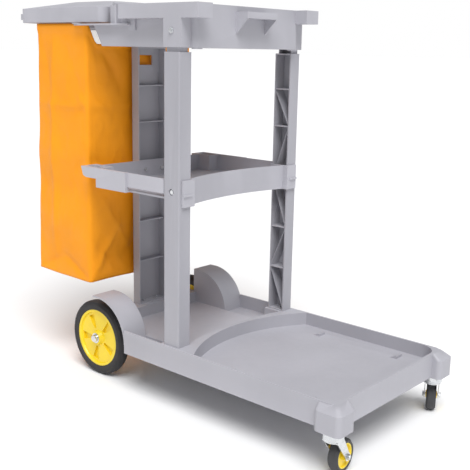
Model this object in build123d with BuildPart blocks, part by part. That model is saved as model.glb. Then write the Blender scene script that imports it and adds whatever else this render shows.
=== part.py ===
"""Housekeeping cart, in millimetres, +Z up, +X towards the front platform, +Y to its left.

Origin: middle of the cart's length and width, on the floor. Stations along X are given from
the front posts, so POST_X places them all.
"""
from build123d import *
from math import cos, radians, sin
import os

os.makedirs("parts", exist_ok=True)

# ---- Overall reach, from the front posts -------------------------------------------------
BUMPER_X = 476.0             # front posts to the middle of a corner bumper
BUMPER_HALF = 34.0           # half its length
FRONT_REACH = BUMPER_X + BUMPER_HALF
REAR_REACH = 635.0           # front posts to the lid's rear lip
POST_X = (REAR_REACH - FRONT_REACH) / 2

# ---- Clearances and common walls ---------------------------------------------------------
WALL = 5.0                   # base side walls
SKIN = 4.0                   # floors, and the walls of tray and shelf
RIB = 3.0                    # stiffening ribs
RUN = 0.05                   # running clearance on a radius
SLIP = 0.3                   # slip clearance on each side of a socket or a soft piece

# ---- Base --------------------------------------------------------------------------------
BASE_HALF = 228.0            # half width
BASE_BOTTOM = 108.0
BASE_TOP = 169.0
PLATFORM_FLOOR = 135.0       # floor of the front recess
DECK_FLOOR = 138.0           # floor of the recess under the shelf
CHANNEL_FLOOR = 131.0        # side channels of that recess
BASE_FRONT = POST_X + 487.0
BUMPER_Y = 213.0             # a block at each front corner carries a caster
BUMPER_HALF_WIDTH = 31.0
BUMPER_BOTTOM = 106.0
BUMPER_SHOULDER = 152.0      # where its sloped top begins
BUMPER_SLOPE = 20.0          # how far in the slope runs on its two outer sides
BUMPER_CORNER = 13.0
BUMPER_TOP_CORNER = 6.0
RECESS_FRONT = BASE_FRONT - 6.0
RECESS_REAR = POST_X + 7.0   # rear of the recess, at the middle
RECESS_BOW = 72.0            # how much further forward the rear is at the sides
RECESS_FRONT_CORNER = 45.0
RECESS_REAR_CORNER = 58.0
PARTITION = 12.0             # wall between the two recesses
PARTITION_BOW = 21.6         # how far forward its rear face runs at the sides
PAD_INNER = 178.0            # inner edge of the pads that the front posts stand on
PAD_REAR = POST_X - 34.0
REAR_WALL_FRONT = POST_X - 282.0
BASE_REAR = POST_X - 332.0
WELL_FRONT = POST_X - 166.0
WELL_INNER = 160.0           # wheel side of the wall beside each rear wheel
FENDER_START = POST_X - 290.0
FENDER_CENTRE_X = POST_X - 270.0
FENDER_CENTRE_Z = 130.0
FENDER_R = 107.0
FENDER_WALL = 4.0
BASE_CORNER = 18.0
FIN_X = (POST_X + 142.0, POST_X + 376.0)   # two small fins on each side of the platform
FIN_Y = 168.0
FIN_WIDTH = 26.0
FIN_LENGTH = 22.0
FIN_CREST = 4.0
FIN_HEIGHT = 7.0
UNDER_RIB_Y = (-150, -75, 0, 75, 150)      # ribs along the base, underneath
UNDER_RIB_X = POST_X - 130.0               # first of the ribs across the base
UNDER_RIB_PITCH = 95.0
UNDER_RIBS = 7
UNDER_RIB_BOTTOM = BASE_BOTTOM + 3
REAR_POCKET = (20.0, 110.0)                # the hollows in the rear wall, each side
LUG_LENGTH = 34.0                          # bearing lugs of the axle
LUG_BELOW = 16.0
LUG_Y = ((40.0, 52.0), (WELL_INNER - 15, WELL_INNER))
OPEN_ABOVE = 400.0                         # a cut that runs out above the base

# ---- Rear wheels -------------------------------------------------------------------------
WHEEL_R = 103.0
RIM_R = 78.0
TYRE_WIDTH = 33.0
TYRE_ROUND = 10.0
WHEEL_Y = 179.0              # middle of the tyre
AXLE_R = 6.0
AXLE_X = POST_X - 318.0
HUB_R = 17.0
SPOKES = 5
SPOKE_TURN = 25.0            # where the first pocket stands, from the top
WASHER_T = 1.6
NUT_R = 10.0

# ---- Posts -------------------------------------------------------------------------------
POST_HALF = 25.6             # half the width of a front post's outer face
POST_OUTER = 222.0
POST_DEPTH = 38.0
POST_WALL = 3.5
POST_SHOULDER = 868.0        # where it narrows into the tray's socket
NECK_HALF = 20.5
NECK_INNER = 191.0
NECK_OUTER = 217.0
NECK_TOP = 932.0
RIB_LEVELS = (291.0, 405.0, 540.0, 678.0, 775.0)   # cross ribs in the three posts
FOOT_STEP = 2.5              # the foot of each post stands on a smaller step of this height
FOOT_INSET = 1.8
REAR_POST_REAR = POST_X - 330.0
REAR_POST_DEPTH = 28.0
REAR_POST_HALF = 50.0
WINDOW_WIDTH = 46.0
WINDOW_BOTTOM = 831.0
WINDOW_TOP = 857.0

# ---- Mid shelf ---------------------------------------------------------------------------
SHELF_RIM = 577.0
SHELF_FLOOR = 533.0
SHELF_SIDE_BOTTOM = 542.0
SHELF_BOTTOM = 528.0
APRON_BOTTOM = 514.0
SHELF_REAR = POST_X - 302.0
APRON_X = POST_X - 9.0       # front of the apron, at the middle
APRON_BOW = 41.0
TAB_HALF_INNER = 182.0
TAB_HALF_OUTER = 214.0
TAB_REAR = 26.2              # front posts to the back of the tabs
TAB_RIB = 3.0
TAB_RIB_Z = 539.0
TAB_RIB_HEIGHT = 5.0
WING_REAR = POST_X - 326.0
WING_FRONT = POST_X - 155.0
WING_STEP = POST_X - 267.0
WING_BOTTOM = 550.0
WING_INNER = 178.0
WING_SLOT_REAR = POST_X - 317.0
WING_SLOT_FRONT = POST_X - 259.0
WING_SLOT_INNER = 190.0
WING_SLOT_OUTER = 217.0

# ---- Top tray ----------------------------------------------------------------------------
TRAY_BOTTOM = 878.0
TRAY_RIM = 975.0
TRAY_HALF = 190.0
TRAY_FRONT = POST_X + 44.0
TRAY_REAR = POST_X - 257.0
TRAY_CORNER = 16.0
TROUGH_BOTTOM = 942.0
TROUGH_OUTER = 222.0
TROUGH_REAR = POST_X - 180.0
HORN_FRONT = POST_X + 80.0
HORN_INNER = 173.0
LEDGE_HALF = 55.0
LEDGE_BOTTOM = 947.0
LEDGE_LIP_TOP = 962.0
GUSSET_BOTTOM = 911.0
ARM_REAR = POST_X - 390.0
ARM_TOP = 932.0
ARM_OUTER = 206.0
UPRIGHT_X = POST_X - 212.0
BLOCK_REAR = POST_X - 343.0
BLOCK_HALF = 58.0

# ---- Bag, its frame and the lid ----------------------------------------------------------
BAG_FRONT = POST_X - 345.0
BAG_REAR = POST_X - 555.0
BAG_HALF = 188.0
BAG_BOTTOM = 252.0
BAG_WALL = 2.5
FRAME_BAR = 10.0
FRAME_BOTTOM = 922.0
FRAME_SCREW_Z = FRAME_BOTTOM + FRAME_BAR / 2
LID_FRONT = POST_X - 269.0
LID_REAR = POST_X - 617.0
LID_HALF = 197.0
LID_WALL = 3.0
LID_BOTTOM = 936.0
LID_RIM = 973.0
LID_CROWN = 20.0             # how far the lid's middle is domed above its rim
LIP_BOTTOM = 944.0
LIP_TOP = 960.0
HINGE_X = POST_X - 263.0
HINGE_Z = 980.0
HINGE_PIN_R = 2.0
KNUCKLE_R = 4.5
KNUCKLE = 16.0
HINGE_Y = 140.0

# ---- Casters -----------------------------------------------------------------------------
CASTER_X = POST_X + BUMPER_X
CASTER_Y = BUMPER_Y
CASTER_R = 37.5
CASTER_TYRE = 24.0
CASTER_RIM_R = 28.0
CASTER_TRAIL = 34.0
CASTER_TURN = {"left": 117.0, "right": 94.0}   # which way each one trails
FORK_GAP = 31.0
FORK_T = 2.5
FORK_TOP_R = 21.0
PLATE_T = 3.0
PLATE_LONG = 60.0
PLATE_WIDE = 48.0
BALL_R = 1.9
KINGPIN_R = 5.0
BOLT_R = 4.0

# ---- Fasteners ---------------------------------------------------------------------------
SCREW_R = 2.4
SCREW_HEAD_R = 5.0
SCREW_HEAD_T = 3.0
SCREW_RECESS_R = 8.0
POST_SCREW_Z = 548.0
TRAY_SCREW_Z = 915.0
REAR_SHELF_SCREW_Z = 552.0
REAR_TRAY_SCREW_Z = 905.0
REAR_SCREW_Y = (-30, 30)
FRAME_SCREW_Y = (-45, 45)
CASTER_SCREW_DEPTH = 14.0
FOOT_SKIN = 14.0             # plastic under a post that its foot screw holds
FOOT_SCREW_REACH = 9.0       # how far that screw goes into the post
SIDES = {"left": 1, "right": -1}
POST_FEET = [(POST_X, POST_OUTER - POST_DEPTH / 2), (POST_X, POST_DEPTH / 2 - POST_OUTER),
             (REAR_POST_REAR + 16, 25), (REAR_POST_REAR + 16, -25)]
SCREW_GRID = (PLATE_LONG - 14, PLATE_WIDE - 12)


def plate_screws(side):
    """Where the four screws of one caster plate stand."""
    half_x = SCREW_GRID[0] / 2
    half_y = SCREW_GRID[1] / 2
    return [(CASTER_X + i * half_x, side * CASTER_Y + j * half_y) for i in (-1, 1) for j in (-1, 1)]


def span(side, inner, outer):
    """The lower and upper Y of a stretch from inner to outer on one side."""
    return sorted((side * inner, side * outer))


def block(x0, x1, y0, y1, z0, z1, mode=Mode.ADD):
    """A box between two corners."""
    with Locations(((x0 + x1) / 2, (y0 + y1) / 2, (z0 + z1) / 2)):
        Box(x1 - x0, y1 - y0, z1 - z0, mode=mode)


def xz_prism(points, y0, y1, mode=Mode.ADD):
    """A prism with an outline of (x, z) points, between two Y."""
    with BuildSketch(Plane.XZ.offset(-y1)) as face:
        Polygon(*points, align=None)
    extrude(face.sketch, amount=y1 - y0, mode=mode)


def y_rod(x, z, y0, y1, radius, mode=Mode.ADD):
    """A round bar or hole along Y."""
    with BuildSketch(Plane.XZ.offset(-y1)) as face:
        with Locations((x, z)):
            Circle(radius)
    extrude(face.sketch, amount=y1 - y0, mode=mode)


def z_rod(x, y, z0, z1, radius, mode=Mode.ADD):
    """A round bar or hole along Z."""
    with BuildSketch(Plane.XY.offset(z0)) as face:
        with Locations((x, y)):
            Circle(radius)
    extrude(face.sketch, amount=z1 - z0, mode=mode)


def x_rod(x0, x1, y, z, radius, mode=Mode.ADD):
    """A round bar or hole along X."""
    with BuildSketch(Plane.YZ.offset(x0)) as face:
        with Locations((y, z)):
            Circle(radius)
    extrude(face.sketch, amount=x1 - x0, mode=mode)


def rounded(x0, x1, y0, y1, radius):
    """A rounded rectangle between two corners, in the open sketch."""
    with Locations(((x0 + x1) / 2, (y0 + y1) / 2)):
        RectangleRounded(x1 - x0, y1 - y0, radius)


def bowed(front, rear, half, bow, corner_front, corner_rear):
    """An outline with a straight front and a rear that is bowed by bow at the sides."""
    with BuildLine() as line:
        ThreePointArc((rear + bow, -half), (rear, 0), (rear + bow, half))
        Polyline((rear + bow, half), (front, half), (front, -half), (rear + bow, -half))
    made = make_face(line.edges())
    corners = made.vertices().group_by(Axis.X)
    fillet(corners[-1], corner_front)
    fillet(corners[0], corner_rear)


def save(builder, name):
    """Label a finished piece and write its STEP file."""
    builder.part.label = name
    export_step(builder.part, f"parts/{name}.step")


# ---- Base: one moulding, open underneath --------------------------------------------------
def base_outline():
    """The base seen from above, with a wheel well cut from each rear corner."""
    with BuildLine() as line:
        Polyline(
            (BASE_FRONT, -BASE_HALF),
            (BASE_FRONT, BASE_HALF),
            (WELL_FRONT, BASE_HALF),
            (WELL_FRONT, WELL_INNER),
            (BASE_REAR, WELL_INNER),
            (BASE_REAR, -WELL_INNER),
            (WELL_FRONT, -WELL_INNER),
            (WELL_FRONT, -BASE_HALF),
            close=True,
        )
    made = make_face(line.edges())
    fillet(made.vertices().group_by(Axis.X)[-1], BASE_CORNER)


def bumper(side):
    """A corner block with a sloped top on its two outer sides; its solid foot carries a caster."""
    rear = POST_X + BUMPER_X - BUMPER_HALF
    front = POST_X + FRONT_REACH
    inner = BUMPER_Y - BUMPER_HALF_WIDTH
    outer = BUMPER_Y + BUMPER_HALF_WIDTH
    with BuildSketch(Plane.XY.offset(BUMPER_BOTTOM)) as foot:
        rounded(rear, front, *span(side, inner, outer), BUMPER_CORNER)
    extrude(foot.sketch, amount=BUMPER_SHOULDER - BUMPER_BOTTOM)
    with BuildSketch(Plane.XY.offset(BUMPER_SHOULDER)) as shoulder:
        rounded(rear, front, *span(side, inner, outer), BUMPER_CORNER)
    with BuildSketch(Plane.XY.offset(BASE_TOP)) as top:
        rounded(rear, front - BUMPER_SLOPE, *span(side, inner, outer - BUMPER_SLOPE), BUMPER_TOP_CORNER)
    loft([shoulder.sketch, top.sketch])


def platform_fin(side, rear):
    """A small wedge on the platform floor, low at its rear and steep in front."""
    low = PLATFORM_FLOOR - 1
    crest = PLATFORM_FLOOR + FIN_HEIGHT
    front = rear + FIN_LENGTH
    xz_prism(((rear, low), (front, low), (front, crest), (front - FIN_CREST, crest)),
             *span(side, FIN_Y, FIN_Y + FIN_WIDTH))


def fender_face(radius, start):
    """A quarter disc with a straight rear edge, in the XZ plane."""
    with BuildLine() as line:
        Line((start, FENDER_CENTRE_Z), (start, FENDER_CENTRE_Z + radius))
        Line((start, FENDER_CENTRE_Z + radius), (FENDER_CENTRE_X, FENDER_CENTRE_Z + radius))
        CenterArc((FENDER_CENTRE_X, FENDER_CENTRE_Z), radius, 0, 90)
        Line((FENDER_CENTRE_X + radius, FENDER_CENTRE_Z), (start, FENDER_CENTRE_Z))
    make_face(line.edges())


def fender(side):
    """A mudguard over one rear wheel, with the wall that closes it towards the deck."""
    outer = span(side, WELL_INNER - WALL, BASE_HALF)
    inner = span(side, WELL_INNER, BASE_HALF)
    with BuildSketch(Plane.XZ.offset(-outer[1])) as guard:
        fender_face(FENDER_R, FENDER_START)
    extrude(guard.sketch, amount=outer[1] - outer[0])
    with BuildSketch(Plane.XZ.offset(-inner[1])) as hollow:
        fender_face(FENDER_R - FENDER_WALL, FENDER_START - 1)
    extrude(hollow.sketch, amount=inner[1] - inner[0], mode=Mode.SUBTRACT)


with BuildPart() as base:
    with BuildSketch(Plane.XY.offset(BASE_BOTTOM)):
        base_outline()
    extrude(amount=BASE_TOP - BASE_BOTTOM)
    for side in SIDES.values():
        bumper(side)
    # front recess, deck recess and its side channels
    with BuildSketch(Plane.XY.offset(PLATFORM_FLOOR)):
        bowed(RECESS_FRONT, RECESS_REAR, BASE_HALF - WALL, RECESS_BOW,
              RECESS_FRONT_CORNER, RECESS_REAR_CORNER)
    extrude(amount=BASE_TOP, mode=Mode.SUBTRACT)
    for side in SIDES.values():
        for rear in FIN_X:
            platform_fin(side, rear)
    DECK_SIDE = WELL_INNER - WALL
    PARTITION_REAR = RECESS_REAR - PARTITION
    block(REAR_WALL_FRONT, PAD_REAR, -DECK_SIDE, DECK_SIDE, DECK_FLOOR, OPEN_ABOVE, Mode.SUBTRACT)
    bow_x = PARTITION_REAR + PARTITION_BOW
    with BuildSketch(Plane.XY.offset(DECK_FLOOR)):
        with BuildLine():
            Polyline(
                (bow_x, PAD_INNER),
                (PAD_REAR - 1, PAD_INNER),
                (PAD_REAR - 1, -PAD_INNER),
                (bow_x, -PAD_INNER),
            )
            ThreePointArc((bow_x, -PAD_INNER), (PARTITION_REAR, 0), (bow_x, PAD_INNER))
        make_face()
    extrude(amount=BASE_TOP, mode=Mode.SUBTRACT)
    for side in SIDES.values():
        channel = span(side, DECK_SIDE, BASE_HALF - WALL)
        block(WELL_FRONT - WALL, PAD_REAR, *channel, CHANNEL_FLOOR, OPEN_ABOVE, Mode.SUBTRACT)
        fender(side)
    # the moulding is hollow underneath
    UNDER_SKIN = CHANNEL_FLOOR - SKIN
    UNDER_HALF = BASE_HALF - WALL
    block(WELL_FRONT + WALL, BASE_FRONT - WALL, -UNDER_HALF, UNDER_HALF, 0, UNDER_SKIN, Mode.SUBTRACT)
    block(BASE_REAR + WALL, WELL_FRONT + WALL, -DECK_SIDE, DECK_SIDE, 0, UNDER_SKIN, Mode.SUBTRACT)
    for side in SIDES.values():
        block(BASE_REAR + WALL, REAR_WALL_FRONT - WALL, *span(side, *REAR_POCKET),
              0, BASE_TOP - SKIN, Mode.SUBTRACT)
    for y in UNDER_RIB_Y:
        block(BASE_REAR + 1, BASE_FRONT - 1, y - RIB / 2, y + RIB / 2, UNDER_RIB_BOTTOM, UNDER_SKIN + 1)
    for count in range(UNDER_RIBS):
        rear = UNDER_RIB_X + count * UNDER_RIB_PITCH
        block(rear, rear + RIB, 1 - BASE_HALF, BASE_HALF - 1, UNDER_RIB_BOTTOM, UNDER_SKIN + 1)
    for side in SIDES.values():
        for lug in LUG_Y:
            block(BASE_REAR + 1, BASE_REAR + LUG_LENGTH, *span(side, *lug),
                  WHEEL_R - LUG_BELOW, DECK_FLOOR - 1)
    y_rod(AXLE_X, WHEEL_R, -BASE_HALF, BASE_HALF, AXLE_R + RUN, Mode.SUBTRACT)
    for x, y in POST_FEET:
        z_rod(x, y, BASE_TOP - FOOT_SKIN - 60, BASE_TOP - FOOT_SKIN, SCREW_RECESS_R, Mode.SUBTRACT)
        z_rod(x, y, BASE_TOP - FOOT_SKIN - 1, BASE_TOP + 1, SCREW_R, Mode.SUBTRACT)
    for side in SIDES.values():
        for x, y in plate_screws(side):
            z_rod(x, y, BUMPER_BOTTOM - 1, BUMPER_BOTTOM + CASTER_SCREW_DEPTH, SCREW_R, Mode.SUBTRACT)
save(base, "base")


# ---- Rear axle, wheels, washers and push nuts ----------------------------------------------
def wheel_ring(centre, direction, points):
    """A solid of revolution about an axle, from (radius, distance along the axle) points."""
    plane = Plane(origin=centre, x_dir=(0, 0, 1), z_dir=Vector(0, 0, 1).cross(direction))
    with BuildSketch(plane) as section:
        Polygon(*points, align=None)
    revolve(section.sketch, axis=Axis(centre, direction))


def spoke_pockets(centre, direction, inner, outer, root, tip, depth):
    """Wedge-shaped pockets between the spokes, cut from one face of a wheel centre."""
    plane = Plane(origin=centre, x_dir=(0, 0, 1), z_dir=direction)
    with BuildSketch(plane) as pockets:
        with PolarLocations(0, SPOKES, start_angle=SPOKE_TURN):
            Polygon((inner, -root), (outer, -tip), (outer, tip), (inner, root), align=None)
    extrude(pockets.sketch, amount=depth, mode=Mode.SUBTRACT)


HUB_INNER = WELL_INNER + WASHER_T + SLIP * 2
HUB_OUTER = WHEEL_Y + TYRE_WIDTH / 2 + 1
WEB = 9.0
for name, side in SIDES.items():
    axle_line = (AXLE_X, 0, WHEEL_R)
    out = Vector(0, side, 0)
    rim = TYRE_WIDTH / 2 - 3
    with BuildPart() as hub:
        wheel_ring(axle_line, out, (
            (AXLE_R + RUN, HUB_INNER), (HUB_R, HUB_INNER), (HUB_R + 2, WHEEL_Y - WEB),
            (RIM_R - 8, WHEEL_Y - WEB), (RIM_R - 6, WHEEL_Y - rim), (RIM_R, WHEEL_Y - rim),
            (RIM_R, WHEEL_Y + rim), (RIM_R - 6, WHEEL_Y + rim), (RIM_R - 8, WHEEL_Y + WEB),
            (HUB_R + 4, WHEEL_Y + WEB), (HUB_R, HUB_OUTER), (AXLE_R + RUN, HUB_OUTER),
        ))
        spoke_pockets((AXLE_X, side * (WHEEL_Y + WEB - 7), WHEEL_R), out, 26, 64, 4, 12, 20)
        spoke_pockets((AXLE_X, side * (WHEEL_Y - WEB + 7), WHEEL_R), -out, 26, 64, 4, 13, 20)
    save(hub, f"wheel_centre_{name}")
    with BuildPart() as tyre:
        half = TYRE_WIDTH / 2
        wheel_ring(axle_line, out, (
            (RIM_R, WHEEL_Y - rim), (RIM_R + 3, WHEEL_Y - half), (WHEEL_R - TYRE_ROUND, WHEEL_Y - half),
            (WHEEL_R - 3, WHEEL_Y - half + 4), (WHEEL_R, WHEEL_Y - half + TYRE_ROUND),
            (WHEEL_R, WHEEL_Y + half - TYRE_ROUND), (WHEEL_R - 3, WHEEL_Y + half - 4),
            (WHEEL_R - TYRE_ROUND, WHEEL_Y + half), (RIM_R + 3, WHEEL_Y + half), (RIM_R, WHEEL_Y + rim),
        ))
    save(tyre, f"wheel_tyre_{name}")

AXLE_END = HUB_OUTER + WASHER_T + SLIP * 2 + 5
with BuildPart() as rear_axle:
    y_rod(AXLE_X, WHEEL_R, -AXLE_END, AXLE_END, AXLE_R)
save(rear_axle, "rear_axle")

with BuildPart() as wheel_washers:
    for side in SIDES.values():
        for start in (WELL_INNER + SLIP / 2, HUB_OUTER + SLIP):
            edges = span(side, start, start + WASHER_T)
            y_rod(AXLE_X, WHEEL_R, *edges, HUB_R - 3)
            y_rod(AXLE_X, WHEEL_R, *edges, AXLE_R + RUN, Mode.SUBTRACT)
save(wheel_washers, "wheel_washers")

NUT_START = HUB_OUTER + WASHER_T + SLIP * 1.5
with BuildPart() as push_nuts:
    for side in SIDES.values():
        edges = span(side, NUT_START, AXLE_END + 2)
        y_rod(AXLE_X, WHEEL_R, *edges, NUT_R)
        y_rod(AXLE_X, WHEEL_R, *span(side, NUT_START - 1, AXLE_END), AXLE_R, Mode.SUBTRACT)
    chamfer(push_nuts.faces().sort_by(Axis.Y)[0].edges(), 1.2)
    chamfer(push_nuts.faces().sort_by(Axis.Y)[-1].edges(), 1.2)
save(push_nuts, "push_nuts")


# ---- Front posts: ribbed channels, open towards the middle of the cart ---------------------
POST_INNER = POST_OUTER - POST_DEPTH
for name, side in SIDES.items():
    with BuildPart() as front_post:
        block(POST_X - POST_HALF, POST_X + POST_HALF, *span(side, POST_INNER, POST_OUTER),
              BASE_TOP, POST_SHOULDER)
        outer_edges = front_post.edges().filter_by(Axis.Z).group_by(Axis.Y)[-1 if side > 0 else 0]
        fillet(outer_edges, 4)
        block(POST_X - NECK_HALF, POST_X + NECK_HALF, *span(side, NECK_INNER, NECK_OUTER),
              POST_SHOULDER - 1, NECK_TOP)
        # the channel, cut from the inner side, leaves a cap under the shoulder and at the foot
        hollow = span(side, POST_INNER - 1, POST_OUTER - POST_WALL)
        block(POST_X - POST_HALF + POST_WALL, POST_X + POST_HALF - POST_WALL, *hollow,
              BASE_TOP + POST_WALL, POST_SHOULDER - POST_WALL, Mode.SUBTRACT)
        block(POST_X - NECK_HALF + POST_WALL, POST_X + NECK_HALF - POST_WALL,
              *span(side, NECK_INNER - 1, NECK_OUTER - POST_WALL),
              POST_SHOULDER, NECK_TOP + 1, Mode.SUBTRACT)
        inside = span(side, POST_INNER + 1, POST_OUTER - 1)
        west = POST_X - POST_HALF + 1
        east = POST_X + POST_HALF - 1
        for level in RIB_LEVELS:
            block(west, east, *inside, level, level + RIB)
        # a diagonal in each bay, leaning forward and back in turn
        floors = (BASE_TOP + POST_WALL, *RIB_LEVELS)
        for turn, (low, high) in enumerate(zip(floors, RIB_LEVELS)):
            rear_end, front_end = (low, high) if turn % 2 else (high, low)
            xz_prism(((west, rear_end), (west, rear_end + RIB), (east, front_end + RIB),
                      (east, front_end)), *inside)
        # recessed seats for the shelf screw and the foot and tray screw holes
        seat = span(side, POST_OUTER - 9, POST_OUTER - POST_WALL)
        y_rod(POST_X, POST_SCREW_Z, *seat, SCREW_RECESS_R + 3)
        y_rod(POST_X, POST_SCREW_Z, *span(side, POST_OUTER - 6, POST_OUTER + 1), SCREW_RECESS_R,
              Mode.SUBTRACT)
        y_rod(POST_X, POST_SCREW_Z, *span(side, POST_INNER - 1, POST_OUTER), SCREW_R, Mode.SUBTRACT)
        y_rod(POST_X, TRAY_SCREW_Z, *span(side, NECK_INNER - 1, NECK_OUTER + 1), SCREW_R, Mode.SUBTRACT)
        z_rod(POST_X, side * (POST_OUTER - POST_DEPTH / 2), BASE_TOP - 1,
              BASE_TOP + FOOT_SCREW_REACH + 1, SCREW_R, Mode.SUBTRACT)
    save(front_post, f"front_post_{name}")

# ---- Rear post: one wider channel with ribs and a window, open to the front ----------------
REAR_POST_FRONT = REAR_POST_REAR + REAR_POST_DEPTH
with BuildPart() as rear_post:
    block(REAR_POST_REAR, REAR_POST_FRONT, -REAR_POST_HALF, REAR_POST_HALF, BASE_TOP, TRAY_BOTTOM)
    fillet(rear_post.edges().filter_by(Axis.Z).group_by(Axis.X)[0], 4)
    block(REAR_POST_REAR + 5, REAR_POST_FRONT - 3, -REAR_POST_HALF + 8, REAR_POST_HALF - 8,
          TRAY_BOTTOM - 1, NECK_TOP - 8)
    block(REAR_POST_REAR + POST_WALL, REAR_POST_FRONT + 1, POST_WALL - REAR_POST_HALF,
          REAR_POST_HALF - POST_WALL, BASE_TOP + POST_WALL, TRAY_BOTTOM - POST_WALL, Mode.SUBTRACT)
    for level in RIB_LEVELS:
        block(REAR_POST_REAR + 1, REAR_POST_FRONT - 4, 1 - REAR_POST_HALF, REAR_POST_HALF - 1,
              level, level + RIB)
    block(REAR_POST_REAR - 1, REAR_POST_REAR + POST_WALL + 1, -WINDOW_WIDTH / 2, WINDOW_WIDTH / 2,
          WINDOW_BOTTOM, WINDOW_TOP, Mode.SUBTRACT)
    for y in (-25, 25):
        z_rod(REAR_POST_REAR + 16, y, BASE_TOP - 1, BASE_TOP + FOOT_SCREW_REACH + 1, SCREW_R,
              Mode.SUBTRACT)
    for y in REAR_SCREW_Y:
        x_rod(REAR_POST_REAR + 1, REAR_POST_FRONT, y, REAR_SHELF_SCREW_Z, SCREW_RECESS_R)
        x_rod(REAR_POST_FRONT - 16, REAR_POST_FRONT + 1, y, REAR_SHELF_SCREW_Z, SCREW_R, Mode.SUBTRACT)
        x_rod(REAR_POST_REAR + 10, REAR_POST_FRONT + 1, y, REAR_TRAY_SCREW_Z, SCREW_R, Mode.SUBTRACT)
save(rear_post, "rear_post")


# ---- Mid shelf: a tray with a bowed apron and a slotted wing at each rear corner -----------
def shelf_plan(inset):
    """The shelf seen from above, without its wings and post notches."""
    half = POST_OUTER - inset
    rear = SHELF_REAR + inset
    front = APRON_X + APRON_BOW - inset
    middle = APRON_X - inset
    with BuildLine() as line:
        Polyline((front, half), (rear, half), (rear, -half), (front, -half))
        ThreePointArc((front, -half), (middle, 0), (front, half))
    made = make_face(line.edges())
    fillet(made.vertices().group_by(Axis.X)[0], 12 - inset / 2)


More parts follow.
